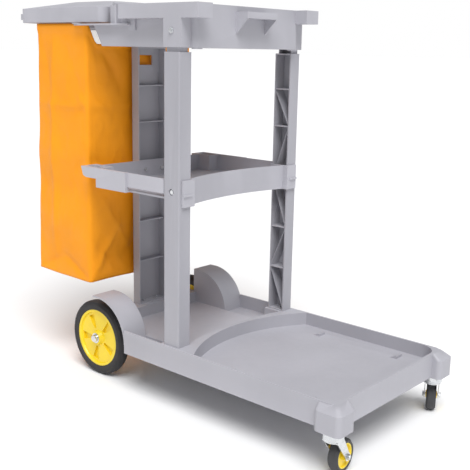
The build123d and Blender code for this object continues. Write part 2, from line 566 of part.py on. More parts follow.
with BuildPart() as mid_shelf:
    with BuildSketch(Plane.XY.offset(APRON_BOTTOM)) as whole:
        shelf_plan(0)
    extrude(whole.sketch, amount=SHELF_RIM - APRON_BOTTOM)
    # the apron reaches lower than the side walls
    block(SHELF_REAR - 1, APRON_X - 12, -BASE_HALF, BASE_HALF, APRON_BOTTOM - 1, SHELF_BOTTOM,
          Mode.SUBTRACT)
    for name, side in SIDES.items():
        groove = span(side, POST_OUTER - 9, POST_OUTER + 1)
        block(WING_FRONT, POST_X, *groove, APRON_BOTTOM - 1, SHELF_SIDE_BOTTOM, Mode.SUBTRACT)
        wing = span(side, WING_INNER, BASE_HALF)
        xz_prism(((WING_FRONT, SHELF_BOTTOM), (WING_FRONT, SHELF_RIM), (WING_REAR, SHELF_RIM),
                  (WING_REAR + 8, WING_BOTTOM + 4), (WING_REAR + 20, WING_BOTTOM),
                  (WING_STEP, WING_BOTTOM), (WING_STEP, SHELF_BOTTOM)), *wing)
        block(SHELF_REAR - 1, WING_STEP, *wing, APRON_BOTTOM - 1, WING_BOTTOM, Mode.SUBTRACT)
    with BuildSketch(Plane.XY.offset(SHELF_FLOOR)) as inside:
        shelf_plan(SKIN)
    extrude(inside.sketch, amount=100, mode=Mode.SUBTRACT)
    # hollow underneath, with ribs
    block(SHELF_REAR + SKIN, APRON_X - SKIN - 2, 12 + SKIN - POST_OUTER, POST_OUTER - SKIN - 12,
          APRON_BOTTOM - 1, SHELF_FLOOR - SKIN, Mode.SUBTRACT)
    for y in (-120, -40, 40, 120):
        block(SHELF_REAR + 1, APRON_X - 8, y - RIB / 2, y + RIB / 2, SHELF_BOTTOM - 4, SHELF_FLOOR - 1)
    for side in SIDES.values():
        # the wall that separates each wing from the tray, and the slot in the wing
        wall = span(side, WING_INNER, WING_INNER + SKIN)
        block(SHELF_REAR, WING_SLOT_FRONT + SKIN, *wall, SHELF_BOTTOM + 1, SHELF_RIM)
        block(WING_SLOT_FRONT, WING_SLOT_FRONT + SKIN, *span(side, WING_INNER, POST_OUTER),
              SHELF_BOTTOM + 1, SHELF_RIM)
        block(WING_REAR + 1, WING_SLOT_FRONT + 1, *span(side, WING_INNER, BASE_HALF - 1),
              SHELF_RIM - 8, SHELF_RIM - 3)
        slot = span(side, WING_SLOT_INNER, WING_SLOT_OUTER)
        with BuildSketch(Plane.XY.offset(APRON_BOTTOM - 1)) as handle_slot:
            rounded(WING_SLOT_REAR, WING_SLOT_FRONT - 1, *slot, 8)
        extrude(handle_slot.sketch, amount=100, mode=Mode.SUBTRACT)
        # notch for the front post, with a pad inside it and the tab in front of the post
        notch = span(side, POST_INNER - SLIP, BASE_HALF)
        block(POST_X - POST_HALF - SLIP, POST_X + POST_HALF + SLIP, *notch, APRON_BOTTOM - 1,
              SHELF_RIM + 1, Mode.SUBTRACT)
        block(POST_X + POST_HALF - 1, APRON_X + APRON_BOW + 1, *span(side, TAB_HALF_OUTER, BASE_HALF),
              APRON_BOTTOM - 1, SHELF_RIM + 1, Mode.SUBTRACT)
        block(POST_X - POST_HALF - SLIP - SKIN, POST_X + POST_HALF + SLIP + 1,
              *span(side, POST_INNER - SLIP - SKIN, POST_INNER - SLIP), SHELF_BOTTOM - 12, SHELF_RIM)
        block(POST_X - POST_HALF - SLIP - SKIN, POST_X - POST_HALF - SLIP,
              *span(side, POST_INNER - SLIP - SKIN, POST_OUTER - 9), SHELF_BOTTOM, SHELF_RIM)
        y_rod(POST_X, POST_SCREW_Z, *span(side, POST_INNER - 12, POST_INNER - SLIP), SCREW_R + 3)
        y_rod(POST_X, POST_SCREW_Z, *span(side, POST_INNER - 10, POST_INNER + 2), SCREW_R, Mode.SUBTRACT)
        # the tab stands in front of the post; a small rib crosses its middle
        block(POST_X + TAB_REAR - 12, APRON_X + APRON_BOW, *span(side, TAB_HALF_INNER - 6, POST_INNER - SLIP),
              APRON_BOTTOM, SHELF_RIM)
        block(POST_X + TAB_REAR, APRON_X + APRON_BOW, *span(side, TAB_HALF_INNER, TAB_HALF_OUTER),
              APRON_BOTTOM, SHELF_RIM)
        rib = span(side, TAB_HALF_INNER + 4, TAB_HALF_OUTER)
        block(POST_X + TAB_REAR + 1, APRON_X + APRON_BOW + TAB_RIB, *rib,
              TAB_RIB_Z, TAB_RIB_Z + TAB_RIB_HEIGHT)
    for y in REAR_SCREW_Y:
        x_rod(SHELF_REAR - 1, SHELF_REAR + SKIN + 1, y, REAR_SHELF_SCREW_Z, SCREW_R, Mode.SUBTRACT)
save(mid_shelf, "mid_shelf")


# ---- Top tray: open box with side troughs, post sockets, arms and a front ledge ------------
with BuildPart() as top_tray:
    with BuildSketch(Plane.XY.offset(TRAY_BOTTOM)) as body:
        rounded(TRAY_REAR, TRAY_FRONT, -TRAY_HALF, TRAY_HALF, TRAY_CORNER)
    extrude(body.sketch, amount=TRAY_RIM - TRAY_BOTTOM)
    for side in SIDES.values():
        trough = span(side, TRAY_HALF - 6, TROUGH_OUTER)
        horn = span(side, HORN_INNER, TROUGH_OUTER)
        block(TROUGH_REAR, TRAY_FRONT, *trough, TROUGH_BOTTOM, TRAY_RIM)
        block(TRAY_FRONT - 20, HORN_FRONT, *horn, TROUGH_BOTTOM, TRAY_RIM)
        socket = span(side, TRAY_HALF - 2, POST_OUTER)
        block(POST_X - POST_HALF - 1, POST_X + POST_HALF + 4, *socket, TRAY_BOTTOM, TROUGH_BOTTOM + 1)
        # bottom plate, upright and gusset of the arm that carries the bag frame
        arm = span(side, TRAY_HALF - 4, ARM_OUTER)
        with BuildSketch(Plane.XY.offset(ARM_TOP - SKIN)) as plate:
            Polygon((ARM_REAR, side * (TRAY_HALF + 1)), (ARM_REAR + 34, side * ARM_OUTER),
                    (TROUGH_REAR + 14, side * ARM_OUTER), (TROUGH_REAR + 14, side * (TRAY_HALF - 4)),
                    (ARM_REAR, side * (TRAY_HALF - 0.5)), align=None)
        extrude(plate.sketch, amount=SKIN)
        block(UPRIGHT_X, UPRIGHT_X + SKIN + 2, *arm, ARM_TOP - 1, TRAY_RIM)
        xz_prism(((TRAY_REAR + 18, TRAY_BOTTOM), (TRAY_REAR - 23, TRAY_BOTTOM),
                  (TRAY_REAR - 55, ARM_TOP - 1), (TRAY_REAR + 18, ARM_TOP - 1)),
                 *span(side, TRAY_HALF - 4, TRAY_HALF))
        pilaster = span(side, TRAY_HALF - 2, TRAY_HALF + 5)
        block(TROUGH_REAR + 4, TROUGH_REAR + 28, *pilaster, ARM_TOP - 16, TROUGH_BOTTOM + 1)
        # a small foot under each front corner
        block(TRAY_FRONT - 16, TRAY_FRONT - 3, *span(side, TRAY_HALF - 26, TRAY_HALF - 4),
              TRAY_BOTTOM - 3, TRAY_BOTTOM + 1)
    # rear socket block
    block(BLOCK_REAR, TRAY_REAR + SKIN, -BLOCK_HALF, BLOCK_HALF, TRAY_BOTTOM, ARM_TOP)
    # front ledge with its lip and two gussets
    block(TRAY_FRONT - 2, HORN_FRONT, -LEDGE_HALF, LEDGE_HALF, LEDGE_BOTTOM, LEDGE_BOTTOM + SKIN)
    block(HORN_FRONT - SKIN, HORN_FRONT, -LEDGE_HALF, LEDGE_HALF, LEDGE_BOTTOM, LEDGE_LIP_TOP)
    for side in SIDES.values():
        gusset = span(side, LEDGE_HALF - SKIN, LEDGE_HALF)
        xz_prism(((TRAY_FRONT - 2, GUSSET_BOTTOM), (TRAY_FRONT, GUSSET_BOTTOM),
                  (HORN_FRONT, LEDGE_BOTTOM), (HORN_FRONT, LEDGE_LIP_TOP),
                  (TRAY_FRONT - 2, LEDGE_LIP_TOP)), *gusset)
    # inside of the tray and of the troughs
    with BuildSketch(Plane.XY.offset(TRAY_BOTTOM + SKIN)) as inside:
        rounded(TRAY_REAR + SKIN, TRAY_FRONT - SKIN, SKIN - TRAY_HALF, TRAY_HALF - SKIN,
                TRAY_CORNER - SKIN)
    extrude(inside.sketch, amount=200, mode=Mode.SUBTRACT)
    for side in SIDES.values():
        floor = TROUGH_BOTTOM + SKIN
        block(TROUGH_REAR + SKIN, HORN_FRONT - SKIN, *span(side, TRAY_HALF, TROUGH_OUTER - SKIN),
              floor, 2000, Mode.SUBTRACT)
        block(TRAY_FRONT, HORN_FRONT - SKIN, *span(side, HORN_INNER + SKIN, TROUGH_OUTER - SKIN),
              floor, 2000, Mode.SUBTRACT)
        # socket for the post's neck, and its screw hole
        neck = span(side, NECK_INNER - SLIP, NECK_OUTER + SLIP)
        block(POST_X - NECK_HALF - SLIP, POST_X + NECK_HALF + SLIP, *neck, TRAY_BOTTOM - 1,
              NECK_TOP + 2, Mode.SUBTRACT)
        y_rod(POST_X, TRAY_SCREW_Z, *span(side, NECK_OUTER, POST_OUTER + 1), SCREW_R, Mode.SUBTRACT)
        # hinge knuckles for the lid
        for shift in (-1, 1):
            middle = side * HINGE_Y + shift * (KNUCKLE + 0.4)
            ends = (middle - KNUCKLE / 2, middle + KNUCKLE / 2)
            block(HINGE_X - 3, TRAY_REAR + 1, *ends, TRAY_RIM - 12, HINGE_Z)
            y_rod(HINGE_X, HINGE_Z, *ends, KNUCKLE_R)
    y_rod(HINGE_X, HINGE_Z, -TRAY_HALF, TRAY_HALF, HINGE_PIN_R + RUN, Mode.SUBTRACT)
    # the rear post's neck seats in the rear block
    block(REAR_POST_REAR + 5 - SLIP, REAR_POST_FRONT - 3 + SLIP, -REAR_POST_HALF + 8 - SLIP,
          REAR_POST_HALF - 8 + SLIP, TRAY_BOTTOM - 1, NECK_TOP - 6, Mode.SUBTRACT)
    block(REAR_POST_FRONT + 1 + SKIN, TRAY_REAR - SKIN, SKIN - BLOCK_HALF, BLOCK_HALF - SKIN,
          TRAY_BOTTOM - 1, ARM_TOP - SKIN, Mode.SUBTRACT)
    for y in FRAME_SCREW_Y:
        x_rod(BLOCK_REAR - 1, BLOCK_REAR + 9, y, FRAME_SCREW_Z, SCREW_R, Mode.SUBTRACT)
    for y in REAR_SCREW_Y:
        x_rod(REAR_POST_FRONT - 4, REAR_POST_FRONT + 6, y, REAR_TRAY_SCREW_Z, SCREW_R, Mode.SUBTRACT)
save(top_tray, "top_tray")


# ---- Bag frame, bag and lid ---------------------------------------------------------------
FRAME_FRONT = BLOCK_REAR
with BuildPart() as bag_frame:
    with BuildSketch(Plane.XY.offset(FRAME_BOTTOM)) as ring:
        rounded(BAG_REAR, FRAME_FRONT, -BAG_HALF, BAG_HALF, 24)
        with Locations(((BAG_REAR + FRAME_FRONT) / 2, 0)):
            RectangleRounded(FRAME_FRONT - BAG_REAR - 2 * FRAME_BAR, 2 * (BAG_HALF - FRAME_BAR),
                             14, mode=Mode.SUBTRACT)
    extrude(ring.sketch, amount=FRAME_BAR)
    for side in SIDES.values():
        lug = span(side, BAG_HALF - FRAME_BAR, ARM_OUTER - 1)
        block(FRAME_FRONT - 36, FRAME_FRONT - 14, *lug, ARM_TOP, ARM_TOP + 2.5)
    for y in FRAME_SCREW_Y:
        x_rod(FRAME_FRONT - FRAME_BAR - 1, FRAME_FRONT + 1, y, FRAME_SCREW_Z, SCREW_R, Mode.SUBTRACT)
save(bag_frame, "bag_frame")

with BuildPart() as bag:
    bag_top = FRAME_BOTTOM - SLIP
    with BuildSketch(Plane.XY.offset(BAG_BOTTOM)) as outside:
        rounded(BAG_REAR, BAG_FRONT, -BAG_HALF, BAG_HALF, 24)
    extrude(outside.sketch, amount=bag_top - BAG_BOTTOM)
    with BuildSketch(Plane.XY.offset(BAG_BOTTOM + BAG_WALL)) as inside:
        rounded(BAG_REAR + BAG_WALL, BAG_FRONT - BAG_WALL, BAG_WALL - BAG_HALF, BAG_HALF - BAG_WALL,
                24 - BAG_WALL)
    extrude(inside.sketch, amount=bag_top, mode=Mode.SUBTRACT)
save(bag, "bag")

with BuildPart() as lid:
    with BuildSketch(Plane.XY.offset(LID_BOTTOM)) as skirt:
        rounded(LID_REAR, LID_FRONT, -LID_HALF, LID_HALF, 20)
    extrude(skirt.sketch, amount=LID_RIM - LID_BOTTOM)
    with BuildSketch(Plane.XY.offset(LID_RIM)) as shoulder:
        rounded(LID_REAR + 2, LID_FRONT - 2, 2 - LID_HALF, LID_HALF - 2, 18)
    with BuildSketch(Plane.XY.offset(LID_RIM + LID_CROWN)) as crown:
        rounded(LID_REAR + 95, LID_FRONT - 70, 95 - LID_HALF, LID_HALF - 95, 40)
    loft([shoulder.sketch, crown.sketch])
    fillet(lid.edges().group_by(Axis.Z)[-1], 30)
    # the rear lip that the hand lifts
    with BuildSketch(Plane.XY.offset(LIP_BOTTOM)) as lip:
        rounded(POST_X - REAR_REACH, LID_REAR + 30, 10 - LID_HALF, LID_HALF - 10, 12)
    extrude(lip.sketch, amount=LIP_TOP - LIP_BOTTOM)
    # inside
    with BuildSketch(Plane.XY.offset(LID_BOTTOM)) as hollow:
        rounded(LID_REAR + LID_WALL, LID_FRONT - LID_WALL, LID_WALL - LID_HALF, LID_HALF - LID_WALL, 17)
    extrude(hollow.sketch, amount=LID_RIM - LID_BOTTOM - LID_WALL, mode=Mode.SUBTRACT)
    with BuildSketch(Plane.XY.offset(LID_RIM - LID_WALL)) as low:
        rounded(LID_REAR + 6, LID_FRONT - 6, 6 - LID_HALF, LID_HALF - 6, 15)
    with BuildSketch(Plane.XY.offset(LID_RIM + LID_CROWN - 5)) as high:
        rounded(LID_REAR + 115, LID_FRONT - 90, 115 - LID_HALF, LID_HALF - 115, 30)
    loft([low.sketch, high.sketch], mode=Mode.SUBTRACT)
    for side in SIDES.values():
        ends = (side * HINGE_Y - KNUCKLE / 2, side * HINGE_Y + KNUCKLE / 2)
        xz_prism(((LID_FRONT - LID_WALL, LID_RIM - 14), (LID_FRONT, LID_RIM - 14),
                  (HINGE_X + 2, HINGE_Z - 3), (HINGE_X, HINGE_Z + 3), (LID_FRONT - LID_WALL, LID_RIM)),
                 *ends)
        y_rod(HINGE_X, HINGE_Z, *ends, KNUCKLE_R)
    y_rod(HINGE_X, HINGE_Z, -LID_HALF + 10, LID_HALF - 10, HINGE_PIN_R + RUN, Mode.SUBTRACT)
save(lid, "lid")

with BuildPart() as hinge_pins:
    for side in SIDES.values():
        reach = KNUCKLE * 1.5 + 1
        y_rod(HINGE_X, HINGE_Z, side * HINGE_Y - reach, side * HINGE_Y + reach, HINGE_PIN_R)
save(hinge_pins, "lid_hinge_pins")


# ---- Casters ------------------------------------------------------------------------------
FORK_CROWN = CASTER_R * 2 + 9
BALL_Z = FORK_CROWN + FORK_T + BALL_R + RUN
PLATE_Z = BUMPER_BOTTOM - PLATE_T
for name, side in SIDES.items():
    turn = radians(CASTER_TURN[name])
    trail = Vector(cos(turn), sin(turn), 0)
    across = Vector(-sin(turn), cos(turn), 0)
    swivel = Vector(CASTER_X, side * CASTER_Y, 0)
    centre = swivel + trail * CASTER_TRAIL + Vector(0, 0, CASTER_R)
    with BuildPart() as plate:
        block(CASTER_X - PLATE_LONG / 2, CASTER_X + PLATE_LONG / 2,
              side * CASTER_Y - PLATE_WIDE / 2, side * CASTER_Y + PLATE_WIDE / 2, PLATE_Z, BUMPER_BOTTOM)
        fillet(plate.edges().filter_by(Axis.Z), 6)
        z_rod(CASTER_X, side * CASTER_Y, BALL_Z - 0.6, PLATE_Z + 1, FORK_TOP_R + 2)
        z_rod(CASTER_X, side * CASTER_Y, BALL_Z - 3, BALL_Z + BALL_R + RUN, FORK_TOP_R - 1, Mode.SUBTRACT)
        z_rod(CASTER_X, side * CASTER_Y, BALL_Z, BUMPER_BOTTOM + 1, KINGPIN_R, Mode.SUBTRACT)
        for x, y in plate_screws(side):
            z_rod(x, y, PLATE_Z - 1, BUMPER_BOTTOM + 1, SCREW_R, Mode.SUBTRACT)
    save(plate, f"caster_plate_{name}")
    with BuildPart() as kingpin:
        z_rod(CASTER_X, side * CASTER_Y, FORK_CROWN - 3, BUMPER_BOTTOM, KINGPIN_R)
        z_rod(CASTER_X, side * CASTER_Y, FORK_CROWN - 3, FORK_CROWN - SLIP, KINGPIN_R + 4)
    save(kingpin, f"caster_kingpin_{name}")
    with BuildPart() as balls:
        with Locations((CASTER_X, side * CASTER_Y, BALL_Z)):
            with PolarLocations((FORK_TOP_R - 1 + KINGPIN_R) / 2, 12):
                Sphere(BALL_R)
    save(balls, f"caster_balls_{name}")
    with BuildPart() as fork:
        z_rod(CASTER_X, side * CASTER_Y, FORK_CROWN, FORK_CROWN + FORK_T, FORK_TOP_R)
        for face in (-1, 1):
            inner = swivel + across * (face * FORK_GAP / 2)
            outline = Plane(origin=inner, x_dir=trail, z_dir=across * face)
            up = 1 if outline.y_dir.Z > 0 else -1
            with BuildSketch(outline) as leg:
                Polygon((-15, up * (FORK_CROWN + FORK_T)), (15, up * (FORK_CROWN + FORK_T)),
                        (CASTER_TRAIL + 9, up * CASTER_R), (CASTER_TRAIL - 9, up * CASTER_R), align=None)
                with Locations((CASTER_TRAIL, up * CASTER_R)):
                    Circle(9.5)
            extrude(leg.sketch, amount=FORK_T)
        crown = Plane(origin=swivel + Vector(0, 0, FORK_CROWN), x_dir=trail, z_dir=(0, 0, 1))
        with BuildSketch(crown) as bridge:
            Rectangle(30, FORK_GAP + 2 * FORK_T)
        extrude(bridge.sketch, amount=FORK_T)
        z_rod(CASTER_X, side * CASTER_Y, FORK_CROWN - 1, FORK_CROWN + 9, KINGPIN_R + 0.1, Mode.SUBTRACT)
        bolt_hole = Plane(origin=centre - across * 40, x_dir=trail, z_dir=across)
        with BuildSketch(bolt_hole) as hole:
            Circle(BOLT_R)
        extrude(hole.sketch, amount=80, mode=Mode.SUBTRACT)
    save(fork, f"caster_fork_{name}")
    with BuildPart() as caster_hub:
        half = CASTER_TYRE / 2
        wheel_ring(centre, across, (
            (BOLT_R + RUN, -half - 2), (9, -half - 2), (10, -half + 5), (CASTER_RIM_R - 5, -half + 5),
            (CASTER_RIM_R - 3, -half + 1), (CASTER_RIM_R, -half + 1), (CASTER_RIM_R, half - 1),
            (CASTER_RIM_R - 3, half - 1), (CASTER_RIM_R - 5, half - 5), (10, half - 5), (9, half + 2),
            (BOLT_R + RUN, half + 2),
        ))
    save(caster_hub, f"caster_centre_{name}")
    with BuildPart() as caster_tyre:
        wheel_ring(centre, across, (
            (CASTER_RIM_R, -half + 1), (CASTER_RIM_R + 2, -half), (CASTER_R - 4, -half),
            (CASTER_R, -half + 5), (CASTER_R, half - 5), (CASTER_R - 4, half), (CASTER_RIM_R + 2, half),
            (CASTER_RIM_R, half - 1),
        ))
    save(caster_tyre, f"caster_tyre_{name}")
    with BuildPart() as bolt:
        shank = Plane(origin=centre - across * (FORK_GAP / 2 + FORK_T + 5), x_dir=trail, z_dir=across)
        with BuildSketch(shank) as bar:
            Circle(BOLT_R)
        extrude(bar.sketch, amount=FORK_GAP + 2 * FORK_T + 8)
        head = Plane(origin=centre + across * (FORK_GAP / 2 + FORK_T), x_dir=trail, z_dir=across)
        with BuildSketch(head) as hexagon:
            RegularPolygon(6.5, 6)
        extrude(hexagon.sketch, amount=4)
    save(bolt, f"caster_bolt_{name}")
    with BuildPart() as nut:
        seat = Plane(origin=centre - across * (FORK_GAP / 2 + FORK_T), x_dir=trail, z_dir=-across)
        with BuildSketch(seat) as hexagon:
            RegularPolygon(6.5, 6)
            Circle(BOLT_R, mode=Mode.SUBTRACT)
        extrude(hexagon.sketch, amount=4.5)
    save(nut, f"caster_nut_{name}")

with BuildPart() as caster_screws:
    for side in SIDES.values():
        for x, y in plate_screws(side):
            z_rod(x, y, PLATE_Z, BUMPER_BOTTOM + CASTER_SCREW_DEPTH - 1, SCREW_R)
            z_rod(x, y, PLATE_Z - 2.2, PLATE_Z, SCREW_HEAD_R - 1)
save(caster_screws, "caster_screws")


# ---- Post screws and washers --------------------------------------------------------------
def side_screw(side, z, seat_y, length):
    """A pan-head screw driven in from the side, with its head on a washer at seat_y."""
    y_rod(POST_X, z, *span(side, seat_y - length, seat_y + WASHER_T), SCREW_R)
    y_rod(POST_X, z, *span(side, seat_y + WASHER_T, seat_y + WASHER_T + SCREW_HEAD_T), SCREW_HEAD_R)


def side_washer(side, z, seat_y):
    """The washer under that screw."""
    faces = span(side, seat_y, seat_y + WASHER_T)
    y_rod(POST_X, z, *faces, SCREW_HEAD_R + 2)
    y_rod(POST_X, z, *faces, SCREW_R, Mode.SUBTRACT)


def rear_screw(x, y, z, length):
    """A screw along X with its head in front of x."""
    x_rod(x - length, x, y, z, SCREW_R)
    x_rod(x, x + SCREW_HEAD_T, y, z, SCREW_HEAD_R)


SHELF_SEAT = POST_OUTER - 6
with BuildPart() as shelf_screws:
    for side in SIDES.values():
        side_screw(side, POST_SCREW_Z, SHELF_SEAT, SHELF_SEAT - POST_INNER + 9)
    for y in REAR_SCREW_Y:
        rear_screw(SHELF_REAR + SKIN, y, REAR_SHELF_SCREW_Z, SKIN + 14)
save(shelf_screws, "shelf_screws")

with BuildPart() as shelf_washers:
    for side in SIDES.values():
        side_washer(side, POST_SCREW_Z, SHELF_SEAT)
save(shelf_washers, "shelf_washers")

with BuildPart() as tray_screws:
    for side in SIDES.values():
        side_screw(side, TRAY_SCREW_Z, POST_OUTER, POST_OUTER - NECK_OUTER + POST_WALL + 5)
    for y in REAR_SCREW_Y:
        rear_screw(REAR_POST_FRONT + 1 + SKIN, y, REAR_TRAY_SCREW_Z, SKIN + 14)
save(tray_screws, "tray_screws")

with BuildPart() as tray_washers:
    for side in SIDES.values():
        side_washer(side, TRAY_SCREW_Z, POST_OUTER)
save(tray_washers, "tray_washers")

with BuildPart() as foot_screws:
    for x, y in POST_FEET:
        z_rod(x, y, BASE_TOP - FOOT_SKIN, BASE_TOP + FOOT_SCREW_REACH, SCREW_R)
        z_rod(x, y, BASE_TOP - FOOT_SKIN - SCREW_HEAD_T, BASE_TOP - FOOT_SKIN, SCREW_HEAD_R)
save(foot_screws, "foot_screws")

with BuildPart() as frame_screws:
    for y in FRAME_SCREW_Y:
        x_rod(FRAME_FRONT - FRAME_BAR, FRAME_FRONT + 8, y, FRAME_SCREW_Z, SCREW_R)
        x_rod(FRAME_FRONT - FRAME_BAR - SCREW_HEAD_T, FRAME_FRONT - FRAME_BAR, y, FRAME_SCREW_Z, SCREW_HEAD_R)
save(frame_screws, "frame_screws")
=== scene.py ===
"""Housekeeping cart: the looks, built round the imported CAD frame. Metres, +Z up, +X to the front."""
from math import cos, exp, pi, radians, sin

import bmesh
import bpy
from mathutils import Matrix, Vector, noise


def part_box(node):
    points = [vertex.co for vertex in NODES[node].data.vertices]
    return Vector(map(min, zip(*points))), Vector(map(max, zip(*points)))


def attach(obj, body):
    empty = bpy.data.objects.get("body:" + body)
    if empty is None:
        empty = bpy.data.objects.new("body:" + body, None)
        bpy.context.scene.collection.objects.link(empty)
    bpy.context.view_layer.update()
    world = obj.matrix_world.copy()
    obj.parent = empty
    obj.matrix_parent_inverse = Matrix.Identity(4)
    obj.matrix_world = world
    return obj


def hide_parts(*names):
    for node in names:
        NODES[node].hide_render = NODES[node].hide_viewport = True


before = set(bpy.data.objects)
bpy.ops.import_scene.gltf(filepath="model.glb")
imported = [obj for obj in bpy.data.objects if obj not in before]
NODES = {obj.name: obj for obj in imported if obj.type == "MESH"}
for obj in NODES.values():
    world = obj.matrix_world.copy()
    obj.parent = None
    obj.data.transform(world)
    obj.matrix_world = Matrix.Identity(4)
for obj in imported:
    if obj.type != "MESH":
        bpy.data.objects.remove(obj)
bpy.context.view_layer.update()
scene = bpy.context.scene


# ---- Materials ---------------------------------------------------------------------------
class Shader:
    """A material's node tree, with short calls to add and join its nodes."""

    def __init__(self, name):
        self.material = bpy.data.materials.new(name)
        self.material.use_nodes = True
        self.tree = self.material.node_tree
        self.surface = self.tree.nodes["Principled BSDF"]
        self.place = self.add("ShaderNodeTexCoord").outputs["Object"]

    def add(self, kind, **values):
        node = self.tree.nodes.new(kind)
        for key, value in values.items():
            if key in node.inputs:
                node.inputs[key].default_value = value
            else:
                setattr(node, key, value)
        return node

    def join(self, a, b):
        self.tree.links.new(a, b)

    def set(self, **values):
        """Constant values on the surface's own sockets; underscores stand for spaces."""
        for key, value in values.items():
            self.surface.inputs[key.replace("_", " ")].default_value = value

    def scaled(self, factors):
        """The place, stretched along its axes."""
        node = self.add("ShaderNodeMapping")
        node.inputs["Scale"].default_value = factors
        self.join(self.place, node.inputs["Vector"])
        return node.outputs["Vector"]

    def noise(self, scale, detail=2.0, roughness=0.5, place=None):
        node = self.add("ShaderNodeTexNoise", Scale=scale, Detail=detail, Roughness=roughness)
        self.join(place or self.place, node.inputs["Vector"])
        return node.outputs["Fac"]

    def ramp(self, value, stops):
        """A colour ramp from (position, colour) stops; a colour may be a single grey."""
        node = self.add("ShaderNodeValToRGB")
        ramp = node.color_ramp
        while len(ramp.elements) < len(stops):
            ramp.elements.new(0.5)
        for element, (position, colour) in zip(ramp.elements, stops):
            element.position = position
            element.color = (*colour, 1) if isinstance(colour, tuple) else (colour, colour, colour, 1)
        self.join(value, node.inputs["Fac"])
        return node.outputs["Color"]

    def mix(self, factor, a, b, blend="MIX"):
        node = self.add("ShaderNodeMix", data_type="RGBA", blend_type=blend)
        for socket, value in ((node.inputs[0], factor), (node.inputs[6], a), (node.inputs[7], b)):
            if hasattr(value, "is_linked"):
                self.join(value, socket)
            else:
                socket.default_value = value if isinstance(value, (int, float)) else (*value, 1)
        return node.outputs[2]

    def maths(self, operation, a, b=0.5):
        node = self.add("ShaderNodeMath", operation=operation)
        for socket, value in zip(node.inputs, (a, b)):
            if hasattr(value, "is_linked"):
                self.join(value, socket)
            else:
                socket.default_value = value
        return node.outputs[0]

    def bump(self, height, distance, strength=1.0, under=None):
        node = self.add("ShaderNodeBump", Distance=distance, Strength=strength)
        self.join(height, node.inputs["Height"])
        if under:
            self.join(under, node.inputs["Normal"])
        self.join(node.outputs["Normal"], self.surface.inputs["Normal"])
        return node.outputs["Normal"]

    def colour(self, value):
        self.join(value, self.surface.inputs["Base Color"])

    def roughness(self, value):
        self.join(value, self.surface.inputs["Roughness"])

    def edge_dust_and_highlight(self, low=0.53, high=0.62):
        """0 on flat faces and 1 along outer edges."""
        edge = self.add("ShaderNodeNewGeometry").outputs["Pointiness"]
        return self.ramp(edge, ((low, 0.0), (high, 1.0)))


def shade(colour, factor):
    """A colour made darker or lighter."""
    return tuple(min(1.0, v * factor) for v in colour)


def grey_plastic(name, tint, seed):
    """Moulded polypropylene: fine spark-eroded grain, faint flow marks, and a painted highlight along
    its edges.
    """
    s = Shader(name)
    s.set(Specular_IOR_Level=0.42)
    flow = s.noise(5.0 + seed, 3.0, 0.55, s.scaled((1.0, 1.0, 0.35)))
    dark = shade(tint, 0.94)
    light = shade(tint, 1.05)
    body = s.ramp(flow, ((0.3, dark), (0.7, light)))
    scuff = s.ramp(s.noise(38.0, 5.0, 0.7, s.scaled((1.0, 1.0, 2.4))), ((0.62, 0.0), (0.78, 1.0)))
    body = s.mix(s.maths("MULTIPLY", scuff, 0.12), body, shade(tint, 1.3))
    # painted highlight: the colour is lighter along the outer edges
    body = s.mix(s.maths("MULTIPLY", s.edge_dust_and_highlight(), 0.25), body, shade(tint, 1.25))
    s.colour(body)
    s.roughness(s.ramp(s.noise(60.0, 4.0, 0.6), ((0.3, 0.40), (0.75, 0.55))))
    grain = s.noise(1500.0, 2.0, 0.6)
    s.bump(grain, 0.00018, 0.55, s.bump(s.noise(12.0, 2.0), 0.0008, 0.35))
    return s.material


def bag_fabric(name, tint, weave_dark, painted_glow=0.0):
    """Coated oxford nylon: a fine over-and-under weave beneath a soft shine; painted_glow makes the
    cloth give off painted light.
    """
    s = Shader(name)
    # painted light: an emission of its own, so a sheet lying in shade still shows light
    s.set(Specular_IOR_Level=0.25, Emission_Color=(1.0, 0.97, 0.93, 1), Emission_Strength=painted_glow)
    threads = []
    for axis in ("Z", "DIAGONAL"):
        wave = s.add("ShaderNodeTexWave", wave_type="BANDS", bands_direction=axis, Scale=420.0,
                     Distortion=0.6, Detail=1.0)
        s.join(s.place, wave.inputs["Vector"])
        threads.append(wave.outputs["Fac"])
    weave = s.maths("MULTIPLY", threads[0], threads[1])
    cloud = s.noise(9.0, 3.0, 0.6)
    body = s.ramp(cloud, ((0.25, shade(tint, 0.93)), (0.75, shade(tint, 1.04))))
    # darker on the raised threads of the weave
    body = s.mix(s.maths("MULTIPLY", weave, 0.10), body, weave_dark)
    s.colour(body)
    s.roughness(s.ramp(s.noise(25.0, 3.0), ((0.3, 0.42), (0.7, 0.58))))
    wrinkle = s.noise(26.0, 5.0, 0.62, s.scaled((1.0, 1.0, 0.55)))
    s.bump(weave, 0.0002, 0.35, s.bump(wrinkle, 0.0035, 0.35))
    return s.material


def glossy_plastic(name, tint):
    """Bright injection-moulded wheel centre."""
    s = Shader(name)
    s.set(Specular_IOR_Level=0.5, Coat_Weight=0.15, Coat_Roughness=0.2)
    body = s.ramp(s.noise(30.0, 3.0), ((0.3, shade(tint, 0.92)), (0.7, tint)))
    # painted highlight: the colour is lighter along the outer edges
    s.colour(s.mix(s.maths("MULTIPLY", s.edge_dust_and_highlight(), 0.3), body, shade(tint, 1.15)))
    s.roughness(s.ramp(s.noise(120.0, 3.0), ((0.3, 0.28), (0.7, 0.38))))
    s.bump(s.noise(700.0, 2.0), 0.0001, 0.3)
    return s.material


def rubber(name, tint, dust):
    """Tyre rubber, with dust in its grain."""
    s = Shader(name)
    s.set(Specular_IOR_Level=0.35)
    body = s.ramp(s.noise(45.0, 4.0, 0.6), ((0.3, tint), (0.8, shade(tint, 1.6))))
    s.colour(s.mix(s.maths("MULTIPLY", s.edge_dust_and_highlight(), dust), body, (0.16, 0.155, 0.15)))
    s.roughness(s.ramp(s.noise(90.0, 3.0), ((0.3, 0.55), (0.7, 0.72))))
    s.bump(s.noise(900.0, 3.0), 0.00025, 0.6)
    return s.material


